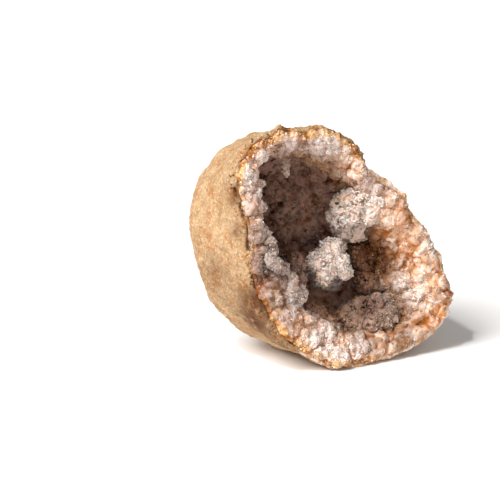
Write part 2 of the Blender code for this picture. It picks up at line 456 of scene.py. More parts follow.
def roughen(piece: Piece, relief: Relief, size_mm: float, height_mm: float, group: str) -> None:
    """Displaces a piece along its normals.

    Args:
        piece: The object.
        relief: The kind of roughness.
        size_mm: How wide one lump, hump or grain is.
        height_mm: How far it stands out.
        group: The vertex group that holds it back.
    """
    name = f"{piece.name} {relief.name.lower()} {size_mm:g}"
    strength, middle = height_mm * MM, 0.5
    if relief is Relief.SWELL:
        texture = bpy.data.textures.new(name, "CLOUDS")
        texture.noise_depth = 2
    elif relief is Relief.GRIT:
        texture = bpy.data.textures.new(name, "CLOUDS")
        texture.noise_type = "HARD_NOISE"
        texture.noise_depth = 3
    else:
        texture = bpy.data.textures.new(name, "VORONOI")
        if relief is Relief.CRACKS:
            texture.weight_1, texture.weight_2 = -1.0, 1.0
            texture.noise_intensity = 5.0
            middle = 1.0
        else:
            strength = -strength
    texture.noise_scale = size_mm * MM
    modify(
        piece, "DISPLACE", texture=texture, texture_coords="LOCAL", strength=strength, mid_level=middle,
        vertex_group=group,
    )


def new_mesh(name: str, points: Array, faces: Array) -> Piece:
    """An object with one mesh of faces that all have the same number of corners.

    Args:
        name: The object's name.
        points: The vertices, in metres.
        faces: The corners of each face, one face to a row.

    Returns:
        The new object.
    """
    mesh = bpy.data.meshes.new(name)
    mesh.vertices.add(len(points))
    mesh.vertices.foreach_set("co", points.astype(np.float32).ravel())
    mesh.loops.add(faces.size)
    mesh.loops.foreach_set("vertex_index", faces.astype(np.int32).ravel())
    mesh.polygons.add(len(faces))
    mesh.polygons.foreach_set("loop_start", np.arange(0, faces.size, faces.shape[1], dtype=np.int32))
    mesh.update(calc_edges=True)
    mesh.validate()
    made = bpy.data.objects.new(name, mesh)
    bpy.context.scene.collection.objects.link(made)
    return made


def finish_piece(
    piece: Piece, finish: Finish, replaced: tuple[str, ...] = (), soft: bool = False
) -> Piece:
    """Dresses a finished piece and makes it ride with the stone.

    Args:
        piece: The finished piece.
        finish: Its material.
        replaced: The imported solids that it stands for.
        soft: Whether its faces are shaded as one smooth surface.

    Returns:
        The piece.
    """
    piece.data.materials.clear()
    piece.data.materials.append(finish)
    if soft:
        activate(piece)
        bpy.ops.object.shade_smooth()
    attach(piece, BODY)
    if replaced:
        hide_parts(*replaced)
    piece.data.calc_loop_triangles()
    LOG.info("%s: %d triangles", piece.name, len(piece.data.loop_triangles))
    return piece


# ---------------------------------------------------------------- finishes


def linear(colour: str) -> tuple[float, float, float, float]:
    """Turns an sRGB hex colour into linear red, green, blue and alpha."""
    shares = [int(colour[i : i + 2], 16) / 255 for i in (1, 3, 5)]
    return (*(s / 12.92 if s <= 0.04045 else ((s + 0.055) / 1.055) ** 2.4 for s in shares), 1.0)


def add_node(
    tree: bpy.types.NodeTree, kind: str, inputs: dict[object, object] | None = None, **settings: object
) -> bpy.types.Node:
    """Adds one node with its settings, values and links.

    Args:
        tree: The material's node tree.
        kind: The node's type.
        inputs: A value or an output to link, for each input named or numbered.
        **settings: The node's settings.

    Returns:
        The new node.
    """
    node = tree.nodes.new(kind)
    for setting, value in settings.items():
        setattr(node, setting, value)
    for key, value in (inputs or {}).items():
        if isinstance(value, Socket):
            tree.links.new(value, node.inputs[key])
        else:
            node.inputs[key].default_value = value
    return node


class Shade:
    """A material under construction: its tree, its shader and the nodes that it keeps using."""

    def __init__(self, name: str, roughness: float, ior: float) -> None:
        """Starts a material.

        Args:
            name: The real material's name.
            roughness: The shader's roughness.
            ior: The shader's index of refraction.
        """
        self.material = bpy.data.materials.new(name)
        self.material.use_nodes = True
        self.tree = self.material.node_tree
        self.shader = self.tree.nodes["Principled BSDF"]
        self.set({"Roughness": roughness, "IOR": ior})
        self.place = add_node(self.tree, "ShaderNodeTexCoord").outputs["Object"]

    def set(self, values: dict[str, object]) -> None:
        """Sets the shader's own values.

        Args:
            values: The value for each input.
        """
        for name, value in values.items():
            self.shader.inputs[name].default_value = value

    def read(self, name: str) -> Socket:
        """The output that reads one of the piece's own attributes."""
        return add_node(self.tree, "ShaderNodeAttribute", attribute_name=name).outputs["Fac"]

    def ramp(self, factor: Socket, stops: tuple[tuple[float, str], ...]) -> Socket:
        """Colours by a factor.

        Args:
            factor: What the colour follows.
            stops: The place and the hex colour of each stop.

        Returns:
            The colour output.
        """
        node = add_node(self.tree, "ShaderNodeValToRGB", {"Fac": factor})
        elements = node.color_ramp.elements
        while len(elements) < len(stops):
            elements.new(0.5)
        for element, (place, colour) in zip(elements, stops):
            element.position = place
            element.color = linear(colour)
        return node.outputs["Color"]

    def mix(self, factor: object, first: object, second: object) -> Socket:
        """Mixes two colours, given as outputs or as hex colours.

        Args:
            factor: How much of the second colour, as an output or a number.
            first: The first colour.
            second: The second colour.

        Returns:
            The mixed colour.
        """
        first, second = (linear(c) if isinstance(c, str) else c for c in (first, second))
        inputs = {0: factor, 6: first, 7: second}
        return add_node(self.tree, "ShaderNodeMix", inputs, data_type="RGBA").outputs[2]

    def noise(self, size_mm: float, detail: float, rough: float) -> Socket:
        """Cloudy noise with features of this size."""
        inputs = {"Vector": self.place, "Scale": 1 / (size_mm * MM), "Detail": detail, "Roughness": rough}
        return add_node(self.tree, "ShaderNodeTexNoise", inputs).outputs["Fac"]

    def patch(
        self, name: str, size_mm: float, detail: float, rough: float, low: float, high: float
    ) -> Socket:
        """One of the piece's own attributes, broken up by noise.

        Args:
            name: The attribute's name.
            size_mm: The size of the noise's features.
            detail: How many finer layers the noise has.
            rough: How strong those layers are.
            low: The noise that hides the attribute.
            high: The noise that shows all of it.

        Returns:
            How much of the attribute shows, from 0 to 1.
        """
        share = self.range(self.noise(size_mm, detail, rough), low, high)
        return self.maths("MULTIPLY", self.read(name), share)

    def range(self, value: Socket, low: float, high: float, most: float = 1) -> Socket:
        """Stretches a factor so that low becomes 0 and high becomes the most."""
        inputs = {0: value, 1: low, 2: high, 4: most}
        return add_node(self.tree, "ShaderNodeMapRange", inputs, clamp=True).outputs[0]

    def maths(self, operation: str, first: object, second: object) -> Socket:
        """Works out one number from two."""
        inputs = {0: first, 1: second}
        return add_node(self.tree, "ShaderNodeMath", inputs, operation=operation, use_clamp=True).outputs[0]

    def paint(self, colour: Socket) -> None:
        """Gives the shader its colour."""
        self.tree.links.new(colour, self.shader.inputs["Base Color"])

    def glow(self, weight: float, depth_mm: float) -> None:
        """Lets light into the stone, red the furthest, by the method that suits many small faces.

        Args:
            weight: How much of the light goes in.
            depth_mm: How far it goes.
        """
        self.shader.subsurface_method = "BURLEY"
        self.set({"Subsurface Weight": weight, "Subsurface Scale": depth_mm * MM})
        self.set({"Subsurface Radius": (1.0, 0.55, 0.3)})

    def bump(self, heights: tuple[tuple[Socket, float, float], ...]) -> None:
        """Stacks bumps on the shader's normal.

        Args:
            heights: For each bump, its height output, its strength and its distance in millimetres.
        """
        normal = None
        for height, strength, distance in heights:
            inputs = {"Height": height, "Strength": strength, "Distance": distance * MM}
            if normal is not None:
                inputs["Normal"] = normal
            normal = add_node(self.tree, "ShaderNodeBump", inputs).outputs["Normal"]
        self.tree.links.new(normal, self.shader.inputs["Normal"])


@dataclass(frozen=True)
class WeatheredLimestone:
    """The rind: weathered limestone, sandy tan with ochre iron stains and dark pits, and no gloss, with
    painted shadow in its crack and under its lower left.
    """

    sand: str = "#c4a078"
    tan: str = "#a67d50"
    ochre: str = "#a86420"
    umber: str = "#4c2d10"
    # The painted shadow's colour, in the crack and under the stone's lower left.
    painted_rind_shadow: str = "#5c3008"
    chalk: str = "#dfc7a0"
    milky: str = "#f3ddcf"
    peach: str = "#dca878"
    roughness: float = 0.9
    ior: float = 1.5
    bed_mm: float = 16.0
    stain_mm: float = 9.0
    grain_mm: float = 1.3
    fleck_mm: float = 2.1
    pit_mm: float = 1.7

    def build(self) -> Finish:
        """Makes the material.

        Returns:
            The limestone, which reads the rind's edge, fresh, painted rind shadow and hollow attributes.
        """
        shade = Shade("weathered limestone", self.roughness, self.ior)
        edge = shade.read("edge")
        # The stone's own colour, in slow beds.
        slow = shade.range(shade.noise(self.bed_mm, 4, 0.6), 0.3, 0.7)
        colour = shade.ramp(slow, ((0.0, self.tan), (0.45, self.sand), (1.0, self.tan)))
        # Iron stains, strongest at the broken edge, under pale grains, ochre flecks and dark pits.
        rust = shade.range(shade.noise(self.stain_mm, 5, 0.65), 0.5, 0.66)
        colour = shade.mix(shade.maths("MULTIPLY", rust, shade.range(edge, -1.0, 0.5)), colour, self.ochre)
        grain = shade.noise(self.grain_mm, 4, 0.7)
        colour = shade.mix(shade.range(grain, 0.52, 0.68), colour, self.chalk)
        flecks = shade.range(shade.noise(self.fleck_mm, 5, 0.75), 0.56, 0.7, 0.6)
        colour = shade.mix(flecks, colour, self.ochre)
        pits = shade.range(shade.noise(self.pit_mm, 3, 0.6), 0.46, 0.36)
        colour = shade.mix(shade.maths("MULTIPLY", pits, shade.range(edge, -0.5, 1.0)), colour, self.umber)
        # Clean quartz that runs over the edge, and painted shadow in the crack and underneath.
        quartz = shade.mix(shade.range(shade.noise(4, 3, 0.6), 0.42, 0.55), self.milky, self.peach)
        fresh = shade.patch("fresh", 3, 4, 0.6, 0.35, 0.5)
        colour = shade.mix(shade.range(fresh, 0.3, 0.6), colour, quartz)
        colour = shade.mix(shade.patch("painted_rind_shadow", 4, 4, 0.6, 0.2, 0.5), colour, self.painted_rind_shadow)
        # Painted shade: the crack's hollow is darkened to umber.
        colour = shade.mix(shade.maths("MULTIPLY", shade.read("hollow"), 0.85), colour, self.umber)
        shade.paint(colour)
        shade.bump(((shade.noise(2.4, 5, 0.7), 0.8, 1.2), (grain, 0.7, 0.5)))
        return shade.material


@dataclass(frozen=True)
class QuartzTones:
    """The colours of the quartz, each as a pair: painted light on the tops that catch the light, and painted
    shade in the hollows.
    """

    rim: tuple[str, str] = ("#fde6da", "#dca67c")
    middle: tuple[str, str] = ("#c29884", "#8a4a18")
    # The deep cavity's pair: partly the quartz's own brown, partly painted shade.
    deep: tuple[str, str] = ("#4a2810", "#1c0800")
    peach: tuple[str, str] = ("#f0bd8c", "#d88e42")
    rust: tuple[str, str] = ("#b8661c", "#8a3a02")
    frost: tuple[str, str] = ("#fff2e8", "#f5cfb4")
    # The painted shade's pair, laid over all the other colours where shade is painted.
    shadow: tuple[str, str] = ("#44220b", "#200a00")
    crust: tuple[str, str] = ("#e6b47c", "#a9600f")

    def paint(self, shade: Shade) -> None:
        """Paints quartz by its depth in the stone, which darkens it partly as its own brown and partly as
        painted shade, by its iron stain, its frost and its painted shade, and by how far it stands out, with
        painted light on the tops and painted shade in the hollows.

        Args:
            shade: The material under construction.
        """
        # Darker with depth: partly the quartz's own brown, partly painted shade of the cavity.
        depth = shade.maths("ADD", shade.read("deep"), shade.range(shade.noise(7, 4, 0.6), 1.1, 0.3))
        depth = shade.range(depth, 0.4, 1.4)
        iron = shade.patch("iron", 4, 4, 0.6, 0.15, 0.6)
        # White is frost, and also the thin veins that cross stained quartz near the broken face.
        veins = shade.ramp(shade.noise(11, 3, 0.55), ((0.43, "#000000"), (0.5, "#ffffff"), (0.57, "#000000")))
        veins = shade.maths("MULTIPLY", veins, shade.range(shade.read("deep"), 0.45, 0.05, 0.65))
        veins = shade.maths("MULTIPLY", veins, shade.range(shade.read("iron"), 0.05, 0.3))
        white = shade.maths("MAXIMUM", shade.patch("frost", 3, 4, 0.7, 0.25, 0.6), veins)
        crust = shade.range(shade.patch("crust", 2.2, 4, 0.7, 0.3, 0.6), 0.3, 0.5)
        lit_and_shaded = []
        for layer in (0, 1):
            stops = ((0.0, self.rim[layer]), (0.4, self.middle[layer]), (1.0, self.deep[layer]))
            colour = shade.ramp(depth, stops)
            stops = ((0.0, self.peach[layer]), (1.0, self.rust[layer]))
            stain = shade.ramp(shade.range(iron, 0.15, 0.95), stops)
            colour = shade.mix(shade.range(iron, 0.05, 0.6), colour, stain)
            colour = shade.mix(white, colour, self.frost[layer])
            colour = shade.mix(crust, colour, self.crust[layer])
            # Painted shade: the shadow patches darken both colours.
            lit_and_shaded.append(shade.mix(shade.read("shadow"), colour, self.shadow[layer]))
        # Painted light and shade: the tops take the first, lit colour and the hollows between growths the
        # second, amber colour as painted shade, with a mottle of their own.
        mottle = shade.range(shade.noise(2.5, 3, 0.6), 0.3, 0.7, 0.4)
        tip = shade.maths("ADD", shade.range(shade.read("tip"), 0.2, 0.9, 0.6), mottle)
        shade.paint(shade.mix(shade.range(tip, 0.68, 0.3), *lit_and_shaded))


@dataclass(frozen=True)
class MilkyQuartz:
    """The massive quartz: milky and a little see-through, so that light softens inside it."""

    tones: QuartzTones = QuartzTones()
    roughness: float = 0.42
    ior: float = 1.54
    gloss: float = 0.15
    glaze: float = 0.1
    glaze_roughness: float = 0.1
    glow: float = 0.6
    glow_mm: float = 1.8
    grain_mm: float = 1.4

    def build(self) -> Finish:
        """Makes the material.

        Returns:
            The milky quartz, softly grained under a faint glaze.
        """
        shade = Shade("milky quartz", self.roughness, self.ior)
        shade.set({"Specular IOR Level": self.gloss})
        shade.set({"Coat Weight": self.glaze, "Coat Roughness": self.glaze_roughness})
        self.tones.paint(shade)
        shade.glow(self.glow, self.glow_mm)
        shade.bump(((shade.noise(self.grain_mm, 3, 0.6), 0.5, 0.5),))
        return shade.material


@dataclass(frozen=True)
class DrusyQuartz:
    """Quartz points: clear facets over a milky root, which glint one by one as the light finds them."""

    tones: QuartzTones = QuartzTones()
    roughness: float = 0.14
    ior: float = 1.54
    glow: float = 0.8
    glow_mm: float = 2.4

    def build(self) -> Finish:
        """Makes the material.

        Returns:
            The quartz of the points, smooth enough to glint.
        """
        shade = Shade("drusy quartz", self.roughness, self.ior)
        self.tones.paint(shade)
        shade.glow(self.glow, self.glow_mm)
        return shade.material


# ---------------------------------------------------------------- crystals


def frames(axes: Array, random: Random) -> tuple[Array, Array]:
    """Turns something at random round each axis.

    Args:
        axes: One direction to a row.
        random: The source of chance.

    Returns:
        For each axis, two directions square to it and to each other.
    """
    side = np.cross(axes, random.normal(0, 1, (len(axes), 3)))
    side /= np.linalg.norm(side, axis=1, keepdims=True)
    return side, np.cross(axes, side)


def crystal() -> tuple[Array, Array]:
    """Models one six-sided quartz point, a unit wide and a unit high over the origin, with a root below it.

    Returns:
        Its vertices, and its faces as triangles.
    """
    deselect()
    bpy.ops.mesh.primitive_cone_add(vertices=6, radius1=0.5, radius2=0, depth=1.3, location=(0, 0, 0.35))
    model = bpy.context.object
    bpy.ops.object.mode_set(mode="EDIT")
    bpy.ops.mesh.select_all(action="SELECT")
    bpy.ops.mesh.quads_convert_to_tris()
    bpy.ops.object.mode_set(mode="OBJECT")
    bpy.ops.object.transform_apply(location=True, rotation=True, scale=True)
    points = positions(model)
    faces = np.array([polygon.vertices[:] for polygon in model.data.polygons])
    bpy.data.objects.remove(model)
    return points, faces


@dataclass
class Samples:
    """Places on a surface: where they are, which way they look, how far they stand out and their crust."""

    points: Array
    normals: Array
    tips: Array
    crusts: Array


# How many places are tried for each one that can be kept, and the least chance that one is.
TRIES = 3.0
LEAST_CHANCE = 0.001

# One number for each cell of a grid, so that only the first place in a cell is kept.
CELL_STEPS = (1_000_003, 10_007, 1)


def sample(piece: Piece, weight: Array, spacing_mm: float, random: Random) -> Samples:
    """Spreads places over a surface, about evenly.

    Args:
        piece: The piece whose surface it is.
        weight: For each vertex, the chance from 0 to 1 that a place near it is kept.
        spacing_mm: How far apart the places are.
        random: The source of chance.

    Returns:
        The places.
    """
    mesh = piece.data
    mesh.calc_loop_triangles()
    corners = np.empty(len(mesh.loop_triangles) * 3, np.int32)
    mesh.loop_triangles.foreach_get("vertices", corners)
    corners = corners.reshape(-1, 3)
    known = np.column_stack((positions(piece), normals(piece), kept(piece, "tip"), kept(piece, "crust")))
    a, b, c = (known[corners[:, k], :3] for k in range(3))
    areas = np.linalg.norm(np.cross(b - a, c - a), axis=1) / 2
    chance = areas * weight[corners].mean(axis=1)
    count = int(TRIES * chance.sum() / (spacing_mm * MM) ** 2)
    chosen = random.choice(len(corners), size=count, p=chance / chance.sum())
    share = random.random((count, 2))
    share[share.sum(axis=1) > 1] = 1 - share[share.sum(axis=1) > 1]
    u, v = share[:, :1], share[:, 1:]
    a, b, c = (known[corners[chosen, k]] for k in range(3))
    spread = a * (1 - u - v) + b * u + c * v
    cells = np.floor(spread[:, :3] / (spacing_mm * MM)).astype(np.int64)
    spread = spread[np.unique(cells @ np.array(CELL_STEPS), return_index=True)[1]]
    looks = spread[:, 3:6] / np.linalg.norm(spread[:, 3:6], axis=1, keepdims=True)
    return Samples(spread[:, :3], looks, spread[:, 6], spread[:, 7])


class Growth(Enum):
    """How a nodule has grown."""

    ROUND = "a smooth grape"
    BLOCKY = "a stump of crystal with a slanting top and five steep sides"


@dataclass(frozen=True)
class Nodules:
    """A crop of nodules: their growth, how far apart they sit, how large they are and how full they stand.

    The rest shapes a stump of crystal: its sides and how unevenly they turn, how steep its top and its sides
    are, how near they come to its middle, and how far it may stand out for its size.
    """

    growth: Growth
    spacing_mm: float
    radius_mm: tuple[float, float]
    rise: float
    sides: int = 5
    uneven: float = 0.3
    top_rise: tuple[float, float] = (1.2, 3.0)
    side_rise: tuple[float, float] = (0.25, 0.7)
    reach: tuple[float, float] = (0.7, 1.0)
    least_slope: float = 0.25
    cap: float = 0.9
    neighbours: int = 4

    def swell(self, piece: Piece, weight: Array, random: Random) -> Array:
        """Swells a piece into nodules.

        Args:
            piece: The object.
            weight: How much of the full height each vertex takes, from 0 to 1.
            random: The source of chance.

        Returns:
            How far each vertex now stands out, from 0 in the seams to 1 on the tops.
        """
        seeds = sample(piece, np.clip(weight, LEAST_CHANCE, 1), self.spacing_mm, random)
        radii = random.uniform(*self.radius_mm, len(seeds.points)) * MM
        tree = KDTree(len(seeds.points))
        for number, point in enumerate(seeds.points):
            tree.insert(point, number)
        tree.balance()
        points, looks = positions(piece), normals(piece)
        near = np.array([[seed for _, seed, _ in tree.find_n(point, self.neighbours)] for point in points])
        away = points[:, None, :] - seeds.points[near]
        if self.growth is Growth.ROUND:
            height = np.sqrt(np.maximum(radii[near] ** 2 - (away**2).sum(axis=2), 0)).max(axis=1)
        else:
            planes, reach = self.facets(seeds.normals, radii, random)
            along = np.einsum("nspk,nsk->nsp", planes[near], away)
            steep = np.einsum("nspk,nk->nsp", planes[near], looks)
            height = ((reach[near] - along) / np.maximum(steep, self.least_slope)).min(axis=2)
            height = np.minimum(height, self.cap * radii[near]).max(axis=1)
        height = np.maximum(height, 0)
        move_to(piece, points + looks * (height * weight * self.rise)[:, None])
        return np.clip(height / (sum(self.radius_mm) / 2 * MM), 0, 1)

    def facets(self, looks: Array, radii: Array, random: Random) -> tuple[Array, Array]:
        """Chooses the flat faces of every nodule.

        Args:
            looks: Which way each nodule points.
            radii: How large each nodule is, in metres.
            random: The source of chance.

        Returns:
            For each nodule, the directions of its sides and its top, and how far away they are.
        """
        count = len(looks)
        side, other = frames(looks, random)
        faces = []
        for number in range(self.sides + 1):
            turn = number * 2 * math.pi / self.sides + random.uniform(-self.uneven, self.uneven, count)
            slopes = self.top_rise if number == self.sides else self.side_rise
            rise = random.uniform(*slopes, count)[:, None]
            face = np.cos(turn)[:, None] * side + np.sin(turn)[:, None] * other + rise * looks
            faces.append(face / np.linalg.norm(face, axis=1, keepdims=True))
        reach = radii[:, None] * random.uniform(*self.reach, (count, self.sides + 1))
        return np.stack(faces, axis=1), reach


# How much the large and the small growths count in how far a vertex stands out.
LARGE_SHARE = 0.55
SMALL_SHARE = 0.45


def blend_tips(large: Array, small: Array) -> Array:
    """How far each vertex stands out on its large and its small growths together, from 0 to 1."""
    return LARGE_SHARE * large + SMALL_SHARE * small


@dataclass(frozen=True)
class DruseCoat:
    """A coat of quartz points: how close they stand, how wide and high they are and how far they lean.

    The higher their power, the more of them are small. Their height varies, and their lift is painted light:
    it gives them more of the lit tops' colour, which makes them paler than the surface that they stand on.
    """

    spacing_mm: float
    width_mm: tuple[float, float]
    height_mm: tuple[float, float]
    lean: float
    small_power: float = 1.6
    height_share: tuple[float, float] = (0.7, 1.2)
    tip_light_lift: float = 0.15

    def grow(self, name: str, at: Samples, random: Random) -> Piece:
        """Copies the crystal to every place.

        Args:
            name: The new piece's name.
            at: Where the crystals stand.
            random: The source of chance.

        Returns:
            All the crystals as one piece.
        """
        model, faces = crystal()
        count = len(at.points)
        axis = at.normals + random.normal(0, self.lean / 2, (count, 3))
        axis /= np.linalg.norm(axis, axis=1, keepdims=True)
        side, other = frames(axis, random)
        size = random.random(count) ** self.small_power
        width, height = ((low + (high - low) * size) * MM for low, high in (self.width_mm, self.height_mm))
        height *= random.uniform(*self.height_share, count)
        placed = (
            at.points[:, None, :]
            + (model[None, :, 0:1] * width[:, None, None]) * side[:, None, :]
            + (model[None, :, 1:2] * width[:, None, None]) * other[:, None, :]
            + (model[None, :, 2:3] * height[:, None, None]) * axis[:, None, :]
        )
        corners = faces[None, :, :] + (np.arange(count) * len(model))[:, None, None]
        piece = new_mesh(name, placed.reshape(-1, 3), corners.reshape(-1, 3))
        roots = np.repeat(FACE.points(at.points), len(model), axis=0)
        store_all(piece, quartz_fields(roots))
        # Painted light: the lift makes each point take more of the lit tops' colour.
        store(piece, "tip", np.clip(np.repeat(at.tips, len(model)) + self.tip_light_lift, 0, 1))
        store(piece, "crust", np.repeat(at.crusts, len(model)))
        return piece


# ---------------------------------------------------------------- the stone's pieces


@dataclass
class Rind:
    """The weathered limestone skin, with its granular broken edge and the crack behind the left rim.

    The pairs are distances between which something comes in: the outer skin, by its distance from the quartz,
    and the broken edge and the clean quartz on it, by their depth.
    """

    voxel_mm: float = 0.92
    crack: tuple[tuple[float, float, float], ...] = (
        (-54, 96, 1.8), (-52.9, 91, 1.2), (-51.3, 85, 1.0), (-50.4, 80, 0.8), (-49.3, 75, 0.6),
        (-48.6, 70, 1.0), (-48.5, 64, 2.0),
    )
    crack_width_mm: float = 1.5
    crack_floor_mm: float = 0.2
    crack_depth_mm: float = 2.2
    skin_mm: tuple[float, float] = (1.2, 2.4)
    edge_mm: tuple[float, float] = (5.5, 0.5)
    fresh_mm: tuple[float, float] = (8, 2)
    reliefs: tuple[tuple[Relief, float, float, str], ...] = (
        (Relief.SWELL, 14, 2.2, "skin"), (Relief.CRACKS, 21, -0.8, "skin"), (Relief.LUMPS, 6, 0.9, "skin"),
        (Relief.GRIT, 3.0, 0.9, "skin"), (Relief.LUMPS, 4.5, 1.6, "edge"), (Relief.LUMPS, 2.6, 1.1, "edge"),
    )

    def build(self, finish: Finish) -> Piece:
        """Makes and dresses the rind.

        Args:
            finish: The rind's material.

        Returns:
            The finished piece.
        """
        piece = copy_of("rind", "rind_skin")
        modify(piece, "REMESH", mode="VOXEL", voxel_size=self.voxel_mm * MM, use_smooth_shade=True)
        points = positions(piece)
        outer = smooth(*self.skin_mm, gap_to("quartz_wall", points))
        face = FACE.points(points)
        edge = smooth(*self.edge_mm, face[:, 1])
        weigh(piece, "skin", np.maximum(outer, edge))
        weigh(piece, "edge", edge)
        for relief, size_mm, height_mm, group in self.reliefs:
            roughen(piece, relief, size_mm, height_mm, group)
        hollow = self.cut_crack(piece, outer)
        points = positions(piece)
        points[:, 2] = np.maximum(points[:, 2], 0.0)
        move_to(piece, points)
        fresh = smooth(*self.fresh_mm, face[:, 1]) * patches(FRESH, face)
        store_all(piece, {"edge": edge, "fresh": fresh, "painted_rind_shadow": patches(RIND_SHADOW_SPOTS, face), "hollow": hollow})
        return finish_piece(piece, finish, ("rind",))

    def cut_crack(self, piece: Piece, outer: Array) -> Array:
        """Sinks the crack that runs down behind the left rim.

        Args:
            piece: The rind.
            outer: How far each vertex is on the outer skin.

        Returns:
            How deep in the crack each vertex lies, from 0 to 1.
        """
        points, looks = positions(piece), normals(piece)
        face = FACE.points(points)
        line = np.array([(across, depth, up) for across, up, depth in self.crack])
        nearest = np.full(len(face), np.inf)
        for start, end in zip(line, line[1:]):
            step = end - start
            along = np.clip((face - start) @ step / (step @ step), 0, 1)
            nearest = np.minimum(nearest, np.linalg.norm(face - start - along[:, None] * step, axis=1))
        hollow = smooth(self.crack_width_mm, self.crack_floor_mm, nearest) * outer
        move_to(piece, points - looks * (hollow * self.crack_depth_mm * MM)[:, None])
        return hollow


@dataclass
class QuartzWall:
    """The quartz wall: its broken face, and the cavity's nodular lining with its coat of points.

    The pairs are bounds between which something comes in: the wall's visible side, by its distance from the
    rind; its front, by where it looks and its depth; the crust; and the light that the lining's points need.
    """

    voxel_mm: float = 0.64
    kept_share: float = 0.62
    hiding: float = 20.0
    overlap_mm: float = 0.45
    inner_mm: tuple[float, float] = (0.7, 2.2)
    front_facing: tuple[float, float] = (0.3, 0.8)
    front_mm: tuple[float, float] = (5, 2)
    swell_mm: tuple[float, float] = (10, 2.6)
    face_lumps: float = 0.35
    crust_gap_mm: tuple[float, float] = (4.5, 0.3)
    crust_mm: tuple[float, float] = (6, 2)
    lit_mm: tuple[float, float] = (34, 12)
    stain_bares: float = 0.8
    plain_sugar: float = 0.15
    dark_points: float = 0.03
    lit_points: float = 0.6
    lumps: Nodules = Nodules(Growth.ROUND, 6.0, (3.0, 5.5), 0.8)
    beads: Nodules = Nodules(Growth.BLOCKY, 3.2, (1.4, 3.0), 0.8)
    lining: DruseCoat = DruseCoat(spacing_mm=1.5, width_mm=(1.0, 2.4), height_mm=(0.35, 0.8), lean=0.5)
    sugar: DruseCoat = DruseCoat(spacing_mm=1.5, width_mm=(1.3, 2.5), height_mm=(0.3, 0.55), lean=0.4)

    def build(self, finish: Finish, points_finish: Finish, random: Random) -> list[Piece]:
        """Makes and dresses the wall and its points.

        Args:
            finish: The wall's material.
            points_finish: The material of the quartz points.
            random: The source of chance.

        Returns:
            The finished pieces.
        """
        piece = copy_of("quartz_wall", "quartz_wall_body")
        modify(piece, "REMESH", mode="VOXEL", voxel_size=self.voxel_mm * MM)
        weigh(piece, "hidden", 1 - smooth(*self.inner_mm, gap_to("rind", positions(piece))))
        modify(
            piece, "DECIMATE", ratio=self.kept_share, vertex_group="hidden", vertex_group_factor=self.hiding
        )
        gap = gap_to("rind", positions(piece))
        face = FACE.points(positions(piece))
        front = smooth(*self.front_facing, FACE.facing(normals(piece))) * smooth(*self.front_mm, face[:, 1])
        inner = np.maximum(smooth(*self.inner_mm, gap), front)
        cavity = cavity_share(face) * inner
        modify(piece, "DISPLACE", strength=2 * self.overlap_mm * MM, mid_level=0.5)
        weigh(piece, "inner", inner)
        roughen(piece, Relief.SWELL, *self.swell_mm, "inner")
        large = self.lumps.swell(piece, inner * (self.face_lumps + (1 - self.face_lumps) * cavity), random)
        small = self.beads.swell(piece, inner, random)
        crust = smooth(*self.crust_gap_mm, gap) * smooth(*self.crust_mm, face[:, 1]) * patches(CRUST, face)
        store_all(piece, quartz_fields(FACE.points(positions(piece))))
        store_all(piece, {"tip": blend_tips(large, small), "crust": crust})
        made = [finish_piece(piece, finish, ("quartz_wall",), True)]
        return made + self.grow_points(piece, inner, cavity, points_finish, random)

    def grow_points(
        self, body: Piece, inner: Array, cavity: Array, finish: Finish, random: Random
    ) -> list[Piece]:
        """Grows sugar where the broken face is frosted, and points where the cavity is lit.

        Args:
            body: The wall.
            inner: How far each vertex is from the rind, from 0 to 1.
            cavity: How far each vertex is inside the cavity, from 0 to 1.
            finish: The material of the points.
            random: The source of chance.

        Returns:
            The finished pieces: the sugar on the broken face, and the lining's points.
        """
        face = FACE.points(positions(body))
        clean = 1 - self.stain_bares * patches(IRON, face)
        broken = inner * (1 - cavity) * np.clip(self.plain_sugar + patches(FROST, face), 0, 1) * clean
        sugar = sample(body, broken, self.sugar.spacing_mm, random)
        lit = smooth(*self.lit_mm, face[:, 1])
        lined = cavity * (self.dark_points + self.lit_points * lit)
        lined = sample(body, lined, self.lining.spacing_mm, random)
        made = [self.sugar.grow("face_druse", sugar, random), self.lining.grow("lining_druse", lined, random)]
        return [finish_piece(piece, finish) for piece in made]


